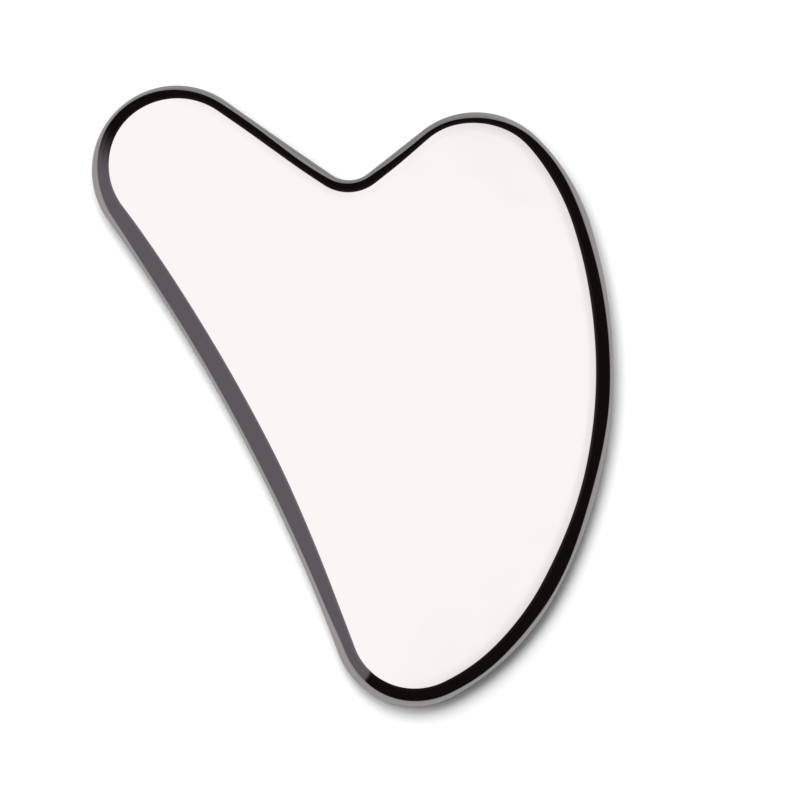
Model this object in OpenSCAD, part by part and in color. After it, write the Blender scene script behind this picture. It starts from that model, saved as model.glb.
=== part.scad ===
// Gua sha scraper: one heart-shaped plate of polished stainless steel, with a bevelled and rounded rim.
// The plate lies flat on Z = 0. Y runs along its length, from the tip at -Y to the two lobes at +Y,
// and its hollow back edge faces -X. The origin is the middle of its footprint.

/* [Plate] */
// Length of the plate, from the tip to the end of the long lobe
length = 84; // [80:1:87]
// Width of the plate, from the hollow back edge to the round side
width = 53; // [51:1:55]
// Thickness between the two flat faces
thickness = 4; // [3.5:0.5:6]

/* [Outline] */
// Radius of the end of the long lobe
lobe_r = 10.5; // [9.5:0.5:11.5]
// Radius of the tip
tip_r = 10; // [9:0.5:11]
// Radius of the end of the short lobe
ear_r = 10.75; // [9.75:0.25:11.5]
// Radius of the notch between the lobes
notch_r = 3.75; // [3:0.25:4.5]
// Radius of the long round side
side_r = 58.5; // [57:0.5:60]
// Radius of the heel, between the tip and the side
heel_r = 32; // [29:1:35]
// Radius of the shoulder, between the side and the short lobe
shoulder_r = 26; // [24:1:30]
// Radius of the hollow back edge, between the long lobe and the tip
back_r = 230; // [200:10:400]
// Radius of the two slightly hollow flanks that lead into the notch
flank_r = 1000; // [500:100:2000]

/* [Rim] */
// Width of the rim where it is narrowest, beside the notch
rim_narrow = 1.15; // [1.1:0.05:1.3]
// Width of the rim where it is widest, along the back edge
rim_wide = 2.85; // [2.5:0.05:3]
// Width of the round nose, the outer part of the rim, where it is narrowest
nose_narrow = 0.3; // [0.25:0.05:0.4]
// Width of the nose where it is widest, round the tip
nose_wide = 1.2; // [1:0.05:1.3]
// Slope of the flat bevel between a face and the nose, in degrees
bevel_slope = 22; // [18:1:24]

/* [Fineness] */
// Longest step along the outline
step_length = 2; // [1.6:0.2:4]
// Largest turn of the outline in one step, in degrees
step_turn = 8; // [6:1:15]
// Steps round the nose, from one bevel to the other
nose_steps = 10; // [6:2:16]

/* [Hidden] */

// Centres of the rounds that shape the outline
lobe_c = [lobe_r - width / 2, length / 2 - lobe_r];
tip_c = [tip_r - width / 2, tip_r - length / 2];
side_c = [width / 2 + 0.5 - side_r, 12];
ear_c = [width / 2 - 11.5, 11];
notch_c = [4, 23.75];

// Rounds in anticlockwise order, each [centre, radius]. A hollow has a negative radius.
ROUNDS = [
    [lobe_c, lobe_r],
    [tip_c, tip_r],
    [side_c, side_r],
    [ear_c, ear_r],
    [notch_c, -notch_r]
];
// Radius of the arc that leads from each round to the next one
LINKS = [-back_r, heel_r, shoulder_r, -flank_r, -flank_r];

// The rim and its nose are ground by hand, so both vary along the outline. Each row is a place, the share
// of the way from the narrowest rim to the widest, and the same for the nose.
// The whole part of a place counts the arcs, and the rest is the way along that arc.
RIM_PLACES = [
    [0.10, 0.25, 0.45],
    [0.55, 0.35, 0.05], // end of the long lobe
    [0.85, 0.65, 0.75],
    [1.00, 0.80, 0.55],
    [1.12, 0.85, 0.20],
    [1.60, 0.90, 0.20], // back edge
    [1.92, 0.60, 0.40],
    [2.05, 0.60, 0.95],
    [2.50, 0.65, 0.55], // tip
    [2.85, 0.65, 0.50],
    [3.25, 0.50, 0.10], // heel
    [3.65, 0.60, 0.35],
    [4.05, 0.60, 0.00],
    [4.27, 0.50, 0.45], // side
    [4.50, 0.55, 0.05],
    [4.75, 0.60, 0.25],
    [5.15, 0.55, 0.60], // shoulder
    [5.70, 0.40, 0.10],
    [6.00, 0.20, 0.20],
    [6.50, 0.15, 0.65], // short lobe
    [6.90, 0.00, 0.30],
    [7.50, 0.20, 0.50],
    [8.45, 0.20, 0.00], // notch
    [9.15, 0.30, 0.75],
    [9.75, 0.20, 0.20]
];
// Half of the stretch that each width is averaged over, and the samples taken in it
rim_reach = 3;
rim_samples = 4;

function sum(v, n) = n == 0 ? 0 : v[n - 1] + sum(v, n - 1);

// Centre of the arc of radius r that touches the rounds a and b
function link_centre(a, b, r) =
    let (
        d = b[0] - a[0],
        l = norm(d),
        p = abs(r - a[1]),
        q = abs(r - b[1]),
        x = (p * p - q * q + l * l) / (2 * l),
        y = sqrt(p * p - x * x)
    )
    a[0] + (x * d + y * [d.y, -d.x]) / l;

ARCS = [
    for (i = [0:len(ROUNDS) - 1])
        let (a = ROUNDS[i], b = ROUNDS[(i + 1) % len(ROUNDS)])
        each [a, [link_centre(a, b, LINKS[i]), LINKS[i]]]
];

// Direction of the outward normal where the arc a runs into the arc b
function meet(a, b) =
    let (d = (b[0] - a[0]) / (a[1] - b[1]))
    atan2(d.y, d.x);

// Normal at the start of each arc, and how far it turns along the arc
STARTS = [for (i = [0:len(ARCS) - 1]) meet(ARCS[(i + len(ARCS) - 1) % len(ARCS)], ARCS[i])];
TURNS = [
    for (i = [0:len(ARCS) - 1])
        let (t = (STARTS[(i + 1) % len(ARCS)] - STARTS[i] + 720) % 360)
        ARCS[i][1] > 0 ? t : t - 360
];
LENGTHS = [for (i = [0:len(ARCS) - 1]) ARCS[i][1] * TURNS[i] * PI / 180];
perimeter = sum(LENGTHS, len(LENGTHS));

// Widths against the distance along the outline, carried past both ends so that they close
function width_table(column, narrow, wide) = [
    for (turn = [-1, 0, 1], r = RIM_PLACES)
        let (i = floor(r[0]))
        [
            turn * perimeter + sum(LENGTHS, i) + (r[0] - i) * LENGTHS[i],
            narrow + r[column] * (wide - narrow)
        ]
];
RIM_WIDTHS = width_table(1, rim_narrow, rim_wide);
NOSE_WIDTHS = width_table(2, nose_narrow, nose_wide);

function mean(v) = sum(v, len(v)) / len(v);

// Width in a table at the distance s along the outline, averaged over a short stretch
function width_at(table, s) =
    mean([for (k = [-rim_samples:rim_samples]) lookup(s + k * rim_reach / rim_samples, table)]);

// Places along the outline, each [point on the edge, outward normal, rim width, nose width]
STATIONS = [
    for (i = [0:len(ARCS) - 1])
        let (n = ceil(max(abs(TURNS[i]) / step_turn, LENGTHS[i] / step_length)))
        for (k = [0:n - 1])
            let (
                a = STARTS[i] + TURNS[i] * k / n,
                normal = [cos(a), sin(a)],
                s = sum(LENGTHS, i) + LENGTHS[i] * k / n
            )
            [
                ARCS[i][0] + ARCS[i][1] * normal,
                normal,
                width_at(RIM_WIDTHS, s),
                width_at(NOSE_WIDTHS, s)
            ]
];

// One cross-section of the rim, from the upper face to the lower one, each [way in from the edge, height].
// The nose is part of an ellipse that starts along the bevel and stands upright at the edge.
function rim_profile(w, nose_w) =
    let (
        nose_h = thickness / 2 - (w - nose_w) * tan(bevel_slope),
        k = nose_w * tan(bevel_slope) / nose_h,
        start = asin(k / (1 - k)),
        half_w = nose_w / (1 - sin(start)),
        half_h = nose_h / cos(start)
    )
    [
        [w, thickness],
        for (j = [0:nose_steps])
            let (phi = start + (180 - 2 * start) * j / nose_steps)
            [half_w * (1 - sin(phi)), thickness / 2 + half_h * cos(phi)],
        [w, 0]
    ];

// The same cross-section in place at a station
function rim_section(station) = [
    for (q = rim_profile(station[2], station[3]))
        let (p = station[0] - q[0] * station[1])
        [p.x, p.y, q[1]]
];

// The rim sections joined in a ring, and closed by the two flat faces
module scraper_plate() {
    rows = len(STATIONS);
    row = nose_steps + 3;
    points = [for (s = STATIONS) each rim_section(s)];
    rim_faces = [
        for (i = [0:rows - 1], j = [0:row - 2])
            let (next = (i + 1) % rows)
            each [
                [i * row + j, next * row + j, next * row + j + 1],
                [i * row + j, next * row + j + 1, i * row + j + 1]
            ]
    ];
    upper_face = [for (i = [rows - 1:-1:0]) i * row];
    lower_face = [for (i = [0:rows - 1]) i * row + row - 1];
    color("gainsboro")
        polyhedron(points, concat(rim_faces, [upper_face, lower_face]));
}

scraper_plate();
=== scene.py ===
"""Looks of the gua sha scraper: one heart-shaped plate of mirror-polished stainless steel.

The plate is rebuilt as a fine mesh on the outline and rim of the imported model, with the softened
corners that polishing leaves. It lies on a white table in a small photo studio. A polished plate
shows what it reflects, so the studio holds a panel overhead, dark cards and pale walls.
Lengths are in millimetres until the mesh is made, and in metres in Blender.
"""

import math

import bpy
import numpy as np
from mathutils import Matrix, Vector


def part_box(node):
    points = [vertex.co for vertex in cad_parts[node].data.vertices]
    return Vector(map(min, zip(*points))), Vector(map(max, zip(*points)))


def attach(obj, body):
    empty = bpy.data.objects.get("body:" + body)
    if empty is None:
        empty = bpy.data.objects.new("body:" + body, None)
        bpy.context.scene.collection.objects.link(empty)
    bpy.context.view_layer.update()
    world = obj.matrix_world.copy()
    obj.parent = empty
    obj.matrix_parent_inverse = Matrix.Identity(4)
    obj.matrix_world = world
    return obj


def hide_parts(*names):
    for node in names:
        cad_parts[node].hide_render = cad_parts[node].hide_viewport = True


MM = 0.001

# The plate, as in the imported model. Rounds are (x, y, radius), anticlockwise; a hollow is negative.
LENGTH, WIDTH, THICKNESS = 84.0, 53.0, 4.0
LOBE_R, TIP_R, SIDE_R, EAR_R, NOTCH_R = 10.5, 10.0, 58.5, 10.75, 3.75
ROUNDS = [
    (LOBE_R - WIDTH / 2, LENGTH / 2 - LOBE_R, LOBE_R),
    (TIP_R - WIDTH / 2, TIP_R - LENGTH / 2, TIP_R),
    (WIDTH / 2 + 0.5 - SIDE_R, 12.0, SIDE_R),
    (WIDTH / 2 - 11.5, 11.0, EAR_R),
    (4.0, 23.75, -NOTCH_R),
]
LINKS = [-230.0, 32.0, 26.0, -1000.0, -1000.0]  # radius of the arc after each round

# The rim and its round nose, both ground by hand. A row is a place along the outline (arcs passed and
# share of the next), and how far the rim and the nose are from their narrowest towards their widest.
RIM_NARROW, RIM_WIDE = 1.15, 2.85
NOSE_NARROW, NOSE_WIDE = 0.3, 1.2
RIM_PLACES = [
    (0.10, 0.25, 0.45),
    (0.55, 0.35, 0.05),  # end of the long lobe
    (0.85, 0.65, 0.75),
    (1.00, 0.80, 0.55),
    (1.12, 0.85, 0.20),
    (1.60, 0.90, 0.20),  # back edge
    (1.92, 0.60, 0.40),
    (2.05, 0.60, 0.95),
    (2.50, 0.65, 0.55),  # tip
    (2.85, 0.65, 0.50),
    (3.25, 0.50, 0.10),  # heel
    (3.65, 0.60, 0.35),
    (4.05, 0.60, 0.00),
    (4.27, 0.50, 0.45),  # side
    (4.50, 0.55, 0.05),
    (4.75, 0.60, 0.25),
    (5.15, 0.55, 0.60),  # shoulder
    (5.70, 0.40, 0.10),
    (6.00, 0.20, 0.20),
    (6.50, 0.15, 0.65),  # short lobe
    (6.90, 0.00, 0.30),
    (7.50, 0.20, 0.50),
    (8.45, 0.20, 0.00),  # notch
    (9.15, 0.30, 0.75),
    (9.75, 0.20, 0.20),
]
WIDTH_REACH = 3.0  # half of the stretch that a width is averaged over

# The rim from the face outwards. Polishing softens the corner between the face and its bevel, which is
# 22 degrees steep on the whole, so the slope grows through these stages, in degrees.
ROLL_OFF_W, ROLL_OFF_SLOPE = 1.4, 1.6  # the outermost part of the face falls away a little
CORNER_W, CORNER_SLOPE = 0.30, 17.5  # softened corner
SHOULDER_W, SHOULDER_SLOPE = 0.35, 22.0
BEVEL_SLOPE = 24.5  # where the bevel ends and the nose starts

STATION_STEP = 0.35  # spacing of the cross-sections along the outline
HUB = (-5.0, 5.0)  # a point of the face that sees its whole outline


# ---------------------------------------------------------------- outline and rim


def link_centre(a, b, radius):
    """Centre of the arc of that radius which touches the rounds a and b."""
    start, d = np.array(a[:2]), np.subtract(b[:2], a[:2])
    gap, p, q = np.hypot(*d), abs(radius - a[2]), abs(radius - b[2])
    x = (p * p - q * q + gap * gap) / (2 * gap)
    y = math.sqrt(p * p - x * x)
    return start + (x * d + y * np.array([d[1], -d[0]])) / gap


def outline_arcs():
    """Every arc of the outline in order, as (centre, radius, normal at its start, turn), in radians."""
    arcs = []
    for i, a in enumerate(ROUNDS):
        b = ROUNDS[(i + 1) % len(ROUNDS)]
        arcs.append((np.array(a[:2]), a[2]))
        arcs.append((link_centre(a, b, LINKS[i]), LINKS[i]))
    starts = []
    for i, (centre, radius) in enumerate(arcs):
        before, radius_before = arcs[i - 1]
        d = (centre - before) / (radius_before - radius)
        starts.append(math.atan2(d[1], d[0]))
    out = []
    for i, (centre, radius) in enumerate(arcs):
        turn = (starts[(i + 1) % len(arcs)] - starts[i]) % math.tau
        out.append((centre, radius, starts[i], turn if radius > 0 else turn - math.tau))
    return out


def width_along(column, narrow, wide, distance, lengths):
    """Width from a column of RIM_PLACES at each distance along the outline, averaged over a short stretch."""
    starts = np.concatenate([[0], np.cumsum(lengths)])
    places = [starts[int(row[0])] + (row[0] % 1) * lengths[int(row[0])] for row in RIM_PLACES]
    widths = [narrow + row[column] * (wide - narrow) for row in RIM_PLACES]
    reach = np.linspace(-WIDTH_REACH, WIDTH_REACH, 41)
    around = (distance[:, None] + reach[None, :]) % starts[-1]
    return np.interp(around, places, widths, period=starts[-1]).mean(axis=1)


def stations():
    """Points on the edge, outward normals, rim widths and nose widths, evenly spaced along each arc."""
    arcs = outline_arcs()
    lengths = [radius * turn for _, radius, _, turn in arcs]
    points, normals, distance = [], [], []
    for i, (centre, radius, start, turn) in enumerate(arcs):
        n = math.ceil(lengths[i] / STATION_STEP)
        t = np.arange(n) / n
        normal = np.stack([np.cos(start + turn * t), np.sin(start + turn * t)], axis=1)
        points.append(centre + radius * normal)
        normals.append(normal)
        distance.append(sum(lengths[:i]) + lengths[i] * t)
    distance = np.concatenate(distance)
    rim = width_along(1, RIM_NARROW, RIM_WIDE, distance, lengths)
    nose = width_along(2, NOSE_NARROW, NOSE_WIDE, distance, lengths)
    return np.concatenate(points), np.concatenate(normals), rim, nose


def smooth(t):
    """0 to 1 with level ends."""
    t = np.clip(t, 0, 1)
    return t * t * (3 - 2 * t)


def slope_profile(rim, nose):
    """Way out from the inner edge of the rim, and slope there in radians, from the face to the nose."""
    bevel = (rim - nose)[:, None]
    half = CORNER_W / 2
    shoulder = np.minimum(half + SHOULDER_W, 0.8 * bevel)
    roll = (np.linspace(0, 1, 8) - 1)[None, :-1] * (ROLL_OFF_W - half) - half
    corner = (np.linspace(-1, 1, 11))[None, :-1] * half
    out = np.concatenate(
        [
            np.broadcast_to(roll, (len(rim), roll.shape[1])),
            np.broadcast_to(corner, (len(rim), corner.shape[1])),
            half + (shoulder - half) * np.linspace(0, 1, 6)[None, :-1],
            shoulder + (bevel - shoulder) * np.linspace(0, 1, 5)[None, :],
        ],
        axis=1,
    )
    slope = ROLL_OFF_SLOPE * smooth((out + ROLL_OFF_W) / (ROLL_OFF_W - half))
    slope = slope + (CORNER_SLOPE - ROLL_OFF_SLOPE) * smooth((out + half) / CORNER_W)
    slope = slope + (SHOULDER_SLOPE - CORNER_SLOPE) * np.clip((out - half) / (shoulder - half), 0, 1)
    slope = slope + (BEVEL_SLOPE - SHOULDER_SLOPE) * np.clip((out - shoulder) / (bevel - shoulder), 0, 1)
    return out, np.radians(slope)


def half_profile(rim, nose):
    """The rim from the face to the edge: way in from the edge, and height over the middle.

    The height is the sum of the slopes, and the nose is part of an ellipse that starts along the bevel.
    """
    out, slope = slope_profile(rim, nose)
    inset = rim[:, None] - out
    grade = np.tan(slope)
    drop = np.cumsum(np.diff(out, axis=1) * (grade[:, 1:] + grade[:, :-1]) / 2, axis=1)
    top = np.full((len(rim), 1), THICKNESS / 2)
    height = np.concatenate([top, top - drop], axis=1)

    nose, nose_h = nose[:, None], height[:, -1:]
    k = nose * math.tan(math.radians(BEVEL_SLOPE)) / nose_h
    start = np.arcsin(k / (1 - k))
    half_w, half_h = nose / (1 - np.sin(start)), nose_h / np.cos(start)
    phi = start + (math.pi / 2 - start) * np.linspace(0, 1, 17)[None, 1:]
    inset = np.concatenate([inset, half_w * (1 - np.sin(phi))], axis=1)
    height = np.concatenate([height, half_h * np.cos(phi)], axis=1)
    return inset, height


# ---------------------------------------------------------------- the plate


def cap_faces(ring, hub, rings_between, vertices):
    """Quads and a fan that close a face, from its outer ring of vertex numbers to the hub point."""
    faces, n = [], len(ring)
    outer = np.array([vertices[i] for i in ring])
    for share in rings_between:
        first = len(vertices)
        vertices.extend(outer * (1 - share) + np.array(hub) * share)
        inner = list(range(first, first + n))
        faces += [(ring[i], ring[(i + 1) % n], inner[(i + 1) % n], inner[i]) for i in range(n)]
        ring = inner
    centre = len(vertices)
    vertices.append(np.array(hub))
    faces += [(ring[i], ring[(i + 1) % n], centre) for i in range(n)]
    return faces


def make_plate(low, high):
    """The plate as one closed mesh of quads, standing in the box of its CAD node."""
    points, normals, rim, nose = stations()
    inset, height = half_profile(rim, nose)
    inset = np.concatenate([inset, inset[:, -2::-1]], axis=1)
    height = np.concatenate([height, -height[:, -2::-1]], axis=1)
    flat = points[:, None, :] - inset[:, :, None] * normals[:, None, :]
    sections = np.concatenate([flat, height[:, :, None]], axis=2)
    n, row = inset.shape
    vertices = list(sections.reshape(-1, 3))
    faces = []
    for i in range(n):
        a, b = i * row, (i + 1) % n * row
        faces += [(a + j, a + j + 1, b + j + 1, b + j) for j in range(row - 1)]
    top = [i * row for i in range(n)]
    bottom = [i * row + row - 1 for i in reversed(range(n))]
    shares = [0.04, 0.12, 0.25, 0.45, 0.7]
    faces += cap_faces(top, (*HUB, THICKNESS / 2), shares, vertices)
    faces += cap_faces(bottom, (*HUB, -THICKNESS / 2), shares, vertices)

    middle = (low + high) / 2
    placed = np.array(vertices) * MM + np.array([0, 0, middle.z])
    mesh = bpy.data.meshes.new("polished_plate")
    mesh.from_pydata(placed.tolist(), [], faces)
    mesh.validate()
    mesh.shade_smooth()
    plate = bpy.data.objects.new("polished_plate", mesh)
    bpy.context.scene.collection.objects.link(plate)
    return plate


# ---------------------------------------------------------------- materials


class Nodes:
    """Short ways to add and join the nodes of one material."""

    def __init__(self, name):
        self.material = bpy.data.materials.new(name)
        self.material.use_nodes = True
        self.tree = self.material.node_tree
        self.tree.nodes.clear()

    def add(self, kind, **settings):
        node = self.tree.nodes.new("ShaderNode" + kind)
        for key, value in settings.items():
            setattr(node, key, value)
        return node

    def join(self, output, socket):
        self.tree.links.new(output, socket)


def steel_material():
    """Mirror-polished stainless steel: fine polishing lines, faint haze and a slow ripple."""
    n = Nodes("polished_steel")
    out = n.add("OutputMaterial")
    shader = n.add("BsdfPrincipled")
    n.join(shader.outputs["BSDF"], out.inputs["Surface"])
    shader.inputs["Base Color"].default_value = (0.66, 0.64, 0.632, 1)
    shader.inputs["Metallic"].default_value = 1.0
    place = n.add("TexCoord")

    haze = n.add("TexNoise")
    haze.inputs["Scale"].default_value = 55
    haze.inputs["Detail"].default_value = 4
    n.join(place.outputs["Object"], haze.inputs["Vector"])
    rough = n.add("MapRange")
    rough.inputs["From Min"].default_value = 0.35
    rough.inputs["From Max"].default_value = 0.75
    rough.inputs["To Min"].default_value = 0.03
    rough.inputs["To Max"].default_value = 0.07
    n.join(haze.outputs["Fac"], rough.inputs["Value"])

    along = n.add("Mapping")
    along.inputs["Rotation"].default_value = (0, 0, math.radians(70))
    along.inputs["Scale"].default_value = (180, 9000, 180)
    n.join(place.outputs["Object"], along.inputs["Vector"])
    lines = n.add("TexNoise")
    lines.inputs["Scale"].default_value = 1
    lines.inputs["Detail"].default_value = 3
    n.join(along.outputs["Vector"], lines.inputs["Vector"])
    line_rough = n.add("MapRange")
    line_rough.inputs["From Min"].default_value = 0.62
    line_rough.inputs["From Max"].default_value = 0.8
    line_rough.inputs["To Min"].default_value = 0
    line_rough.inputs["To Max"].default_value = 0.06
    n.join(lines.outputs["Fac"], line_rough.inputs["Value"])
    total = n.add("Math", operation="ADD")
    n.join(rough.outputs["Result"], total.inputs[0])
    n.join(line_rough.outputs["Result"], total.inputs[1])
    n.join(total.outputs["Value"], shader.inputs["Roughness"])

    ripple = n.add("TexNoise")
    ripple.inputs["Scale"].default_value = 140
    ripple.inputs["Detail"].default_value = 1
    n.join(place.outputs["Object"], ripple.inputs["Vector"])
    bump = n.add("Bump")
    bump.inputs["Strength"].default_value = 0.25
    bump.inputs["Distance"].default_value = 0.0001
    n.join(ripple.outputs["Fac"], bump.inputs["Height"])
    n.join(bump.outputs["Normal"], shader.inputs["Normal"])
    return n.material


def plain_material(name, colour, roughness):
    """Matt material of one colour, for the table."""
    n = Nodes(name)
    shader = n.add("BsdfPrincipled")
    shader.inputs["Base Color"].default_value = (*colour, 1)
    shader.inputs["Roughness"].default_value = roughness
    out = n.add("OutputMaterial")
    n.join(shader.outputs["BSDF"], out.inputs["Surface"])
    return n.material


def glow_material(name, colour=None):
    """A light of one colour, or of the colours that the mesh holds in its "light" attribute."""
    n = Nodes(name)
    shader = n.add("Emission")
    if colour:
        shader.inputs["Color"].default_value = (*colour, 1)
    else:
        n.join(n.add("Attribute", attribute_name="light").outputs["Color"], shader.inputs["Color"])
    out = n.add("OutputMaterial")
    n.join(shader.outputs["Emission"], out.inputs["Surface"])
    n.material.cycles.emission_sampling = "NONE"
    return n.material


# ---------------------------------------------------------------- studio

ROOM_R = 2.0  # radius of the dome of walls, cards and panel, in metres
TABLE_R = 3.0
BACKDROP_R = 4.0  # radius of the white dome that the camera sees, well inside its view distance
BACKDROP_LIGHT = (1.2, 1.2, 1.2)
FILL_STRENGTH = 0.02
PAINTED_TABLE_REFLECTION_H = 0.02 * MM  # the glowing copy of the table, its painted reflection, is a hair above the floor, so neither hides the other
CONTACT_SHADOW_H = 0.03 * MM  # and the painted contact shadow, a dark strip where the plate meets it, lies just above that

# The painted contact shadow, a strip that darkens the table's glow towards the plate, as (way out from the
# plate's edge, share of the table's light)
CONTACT_SHADOW_STEPS = [(-4.0, 0.03), (-1.5, 0.05), (-0.6, 0.16), (0.0, 0.42), (0.5, 0.72), (1.0, 0.92), (1.6, 1.0)]

# What the plate mirrors. Directions are in degrees, anticlockwise from +X, and elevations in degrees.
WALL_TOP = 31  # the pale walls end and the cards start here
CARD_TOP = 77  # the cards end and the overhead panel starts here
GREY_FROM, GREY_TO = 139, 203  # the grey card, and a black one all the way round from its end
GREY_RISE = 34  # the grey card brightens from black over this many degrees, and ends sharply
GREY_LEAN = 0.3  # the start of the grey card leans, in degrees of direction per degree of elevation
GREY_LEAN_MOST = 14  # and by this many degrees of direction at the most
STREAK = 3  # streaks move the start of the grey card by this many degrees either way
STREAK_TURNS = 100  # degrees that a streak's wave turns for each degree of elevation
BEVEL_SEES = 45  # elevation that the middle of a bevel mirrors
BRIGHT_SIDE = (150, 200)  # the pale walls and the table's painted reflection are brightest between these directions, painted light on the table
DARK_SIDE = (45, 95)  # and darkest between these, painted shade on the table
DIM_FROM, DIM_TO = -108, 68  # the overhead panel fades towards its edge between these directions
DIM_STEPS = [(0.10, 0.125), (0.18, 0.10)]  # it fades from (metres from its middle) by (share of its light)
DIM_SPAN = 0.08  # metres that each of those steps takes

WALL = np.array([0.475, 0.452, 0.460])
GREY = np.array([0.165, 0.151, 0.173])
BLACK = np.array([0.0083, 0.0062, 0.0061])
PANEL = np.array([1.449, 1.440, 1.444])


def window(angle, start, end, soft):
    """1 between two directions and 0 outside, fading over that many degrees at both ends."""
    middle, half = (start + end) / 2, (end - start) / 2
    off = np.abs((angle - middle + 180) % 360 - 180)
    return 1 - smooth((off - half) / soft + 0.5)


def side_light(az):
    """Colour of the foot of the pale walls, and of the table's painted reflection, in each direction; on the
    table the brighter and darker sides are painted light and shade.
    """
    level = 0.96 + 0.13 * window(az, *BRIGHT_SIDE, 60) - 0.26 * window(az, *DARK_SIDE, 30)
    return WALL * level[:, None]


def cards_light(az, el):
    """Colour of the grey card and of the black ones, which all get paler above the part a bevel mirrors."""
    grey = GREY * (1 + 0.45 * smooth((el - BEVEL_SEES - 3) / 12))[:, None]
    high = smooth((el - BEVEL_SEES - 1.5) / 6)
    black = BLACK * (1 + 2.5 * high * (0.4 + 0.6 * window(az, -60, 0, 40)))[:, None]

    lean = np.clip(GREY_LEAN * (el - BEVEL_SEES), -GREY_LEAN_MOST, GREY_LEAN_MOST)
    streaks = STREAK * np.sin(np.radians(el * STREAK_TURNS))
    is_grey = smooth((az - GREY_FROM - lean - streaks) / GREY_RISE + 0.5) * (1 - smooth(az - GREY_TO + 0.5))
    return black + (grey - black) * is_grey[:, None]


def panel_light(az, el):
    """Colour of the overhead panel, which fades towards its edge on one side."""
    reach = np.cos(np.radians(el)) * ROOM_R
    fade = sum(loss * smooth((reach - start) / DIM_SPAN) for start, loss in DIM_STEPS)
    return PANEL * (1 - fade * window(az, DIM_FROM, DIM_TO, 60))[:, None]


def room_light(az, el):
    """Colour of the room in each direction and elevation: walls, then cards, then the panel."""
    wall = side_light(az) * (1.04 - 0.0075 * el)[:, None]
    above_walls = smooth(el - WALL_TOP + 0.5)[:, None]
    light = wall + (cards_light(az, el) - wall) * above_walls
    above_cards = smooth(el - CARD_TOP + 0.5)[:, None]
    return light + (panel_light(az, el) - light) * above_cards


def only_seen(obj, camera=False, diffuse=False, glossy=False, shadow=False):
    """Which rays meet this piece of the studio."""
    obj.visible_camera = camera
    obj.visible_diffuse = diffuse
    obj.visible_glossy = glossy
    obj.visible_transmission = camera
    obj.visible_shadow = shadow


def glow_grid(name, rows, columns, points, light):
    """A grid of glowing quads, closed sideways, that only the plate's reflections see."""
    faces = [
        (j * columns + i, j * columns + (i + 1) % columns, k * columns + (i + 1) % columns, k * columns + i)
        for j, k in zip(range(rows - 1), range(1, rows))
        for i in range(columns)
    ]
    mesh = bpy.data.meshes.new(name)
    mesh.from_pydata(points.tolist(), [], faces)
    colours = np.concatenate([light, np.ones((len(light), 1))], axis=1)
    mesh.attributes.new("light", "FLOAT_COLOR", "POINT").data.foreach_set("color", colours.ravel())
    mesh.materials.append(glow_material(name))
    obj = bpy.data.objects.new(name, mesh)
    bpy.context.scene.collection.objects.link(obj)
    only_seen(obj, glossy=True)
    return obj


def make_room():
    """The dome of walls, cards and panel."""
    el, az = np.meshgrid(np.arange(0, 90.5, 0.5), np.arange(0, 360, 1.0), indexing="ij")
    rows, columns = el.shape
    e, a = np.radians(el.ravel()), np.radians(az.ravel())
    points = np.stack([np.cos(e) * np.cos(a), np.cos(e) * np.sin(a), np.sin(e)], axis=1) * ROOM_R
    glow_grid("room", rows, columns, points, room_light(az.ravel(), el.ravel()))


def make_painted_table_reflection():
    """A glowing copy of the table that only the plate's reflections see, a painted reflection of the lit
    table, with a painted contact shadow where the two meet.
    """
    # Painted reflection: the table's light is painted into a glow, lighter and darker by direction.
    radius, az = np.meshgrid([0.0001, TABLE_R], np.arange(0, 360, 5.0), indexing="ij")
    rows, columns = radius.shape
    r, a = radius.ravel(), np.radians(az.ravel())
    points = np.stack([r * np.cos(a), r * np.sin(a), np.full_like(r, PAINTED_TABLE_REFLECTION_H)], axis=1)
    glow_grid("painted_table_reflection", rows, columns, points, side_light(az.ravel()))

    # Painted contact shadow: rings around the plate's edge whose glow darkens towards and under the plate.
    edge, normals, _, _ = stations()
    points = [np.c_[(edge + out * normals) * MM, np.full(len(edge), CONTACT_SHADOW_H)] for out, _ in CONTACT_SHADOW_STEPS]
    around = side_light(np.degrees(np.arctan2(normals[:, 1], normals[:, 0])))
    light = np.concatenate([around * share for _, share in CONTACT_SHADOW_STEPS])
    glow_grid("painted_contact_shadow", len(CONTACT_SHADOW_STEPS), len(edge), np.concatenate(points), light)


def make_studio():
    """The white table, a glowing painted reflection of it, what the plate mirrors of the room, a white
    backdrop and a little fill.
    """
    bpy.ops.mesh.primitive_circle_add(vertices=128, radius=TABLE_R, fill_type="NGON")
    floor = bpy.context.object
    floor.name = "floor"
    floor.data.materials.append(plain_material("white_table", (0.9, 0.9, 0.9), 0.9))
    only_seen(floor, camera=True, diffuse=True, shadow=True)
    make_painted_table_reflection()
    make_room()

    bpy.ops.mesh.primitive_uv_sphere_add(segments=64, ring_count=32, radius=BACKDROP_R)
    dome = bpy.context.object
    dome.name = "backdrop"
    dome.data.materials.append(glow_material("backdrop", BACKDROP_LIGHT))
    only_seen(dome, camera=True)

    world = bpy.data.worlds.new("fill")
    bpy.context.scene.world = world
    world.use_nodes = True
    fill = world.node_tree.nodes["Background"]
    fill.inputs["Color"].default_value = (1, 1, 1, 1)
    fill.inputs["Strength"].default_value = FILL_STRENGTH


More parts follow.
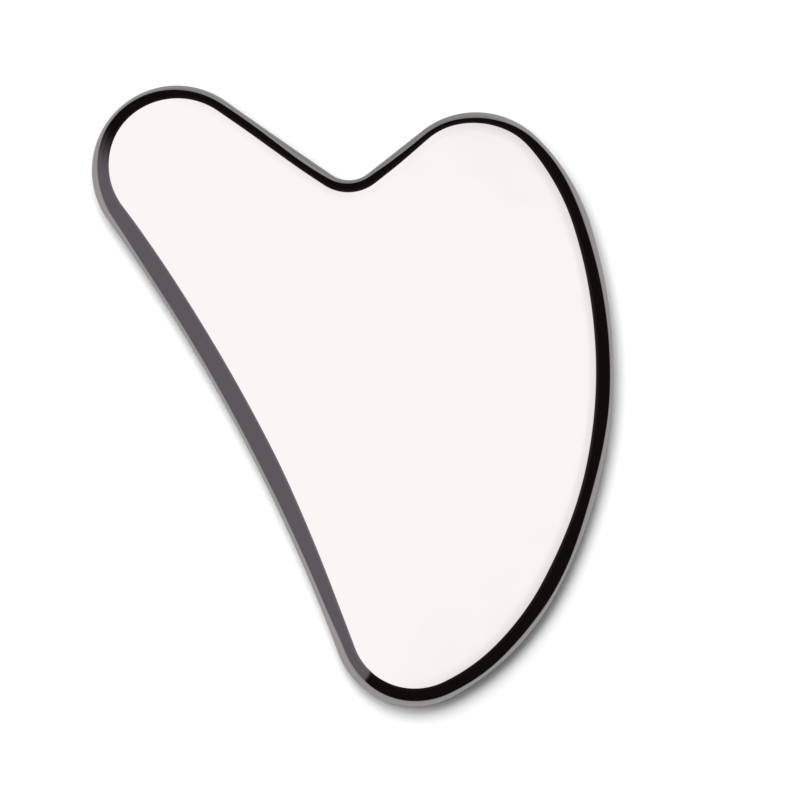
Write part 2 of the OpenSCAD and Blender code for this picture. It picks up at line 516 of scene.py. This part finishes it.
# Soft lamps, each (direction, elevation, apparent width, strength), with the angles in degrees
KEYS = [
    (60, 58, 25, 0.8),
    (88, 55.5, 34, 2.05),
    (135, 64, 25, 1.0),
    (0, 74, 20, 0.35),
]


def add_key(az, el, spread, strength):
    """Soft light that doesn't weaken across the table."""
    light = bpy.data.lights.new("key", "SUN")
    light.energy = strength
    light.angle = math.radians(spread)
    key = bpy.data.objects.new("key", light)
    key.rotation_euler = (math.radians(90 - el), 0, math.radians(az + 90))
    key.visible_glossy = False
    key.visible_camera = False
    bpy.context.scene.collection.objects.link(key)


# ---------------------------------------------------------------- camera

CAMERA_HEIGHT = 0.65
VIEW_W = 98.97 * MM  # width of the view at the plate
VIEW_TURN = math.radians(28)  # the picture's right-hand direction lies this far below +X
VIEW_MIDDLE = (-4.94 * MM, -6.53 * MM)  # the plate's own middle is right of and above the picture's


def make_camera(middle):
    camera_data = bpy.data.cameras.new("camera")
    camera_data.sensor_width = 36
    camera_data.lens = 36 * CAMERA_HEIGHT / VIEW_W
    camera_data.clip_start = 0.01
    camera = bpy.data.objects.new("camera", camera_data)
    x, y = middle.x + VIEW_MIDDLE[0], middle.y + VIEW_MIDDLE[1]
    camera.location = (x, y, middle.z + CAMERA_HEIGHT)
    camera.rotation_euler = (0, 0, -VIEW_TURN)
    bpy.context.scene.collection.objects.link(camera)
    bpy.context.scene.camera = camera


# ---------------------------------------------------------------- the scene

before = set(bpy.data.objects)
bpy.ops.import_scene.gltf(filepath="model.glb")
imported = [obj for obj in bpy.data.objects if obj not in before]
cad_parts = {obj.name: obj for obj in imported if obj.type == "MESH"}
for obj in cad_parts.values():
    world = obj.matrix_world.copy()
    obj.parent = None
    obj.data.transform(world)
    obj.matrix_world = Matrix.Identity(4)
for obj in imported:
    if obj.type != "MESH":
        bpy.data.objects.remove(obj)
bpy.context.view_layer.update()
low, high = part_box("scraper_plate")

plate = make_plate(low, high)
plate.data.materials.append(steel_material())
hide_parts("scraper_plate")
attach(plate, "root")

make_studio()
for key in KEYS:
    add_key(*key)
make_camera((low + high) / 2)

scene = bpy.context.scene
scene.view_settings.view_transform = "Standard"
scene.view_settings.look = "None"
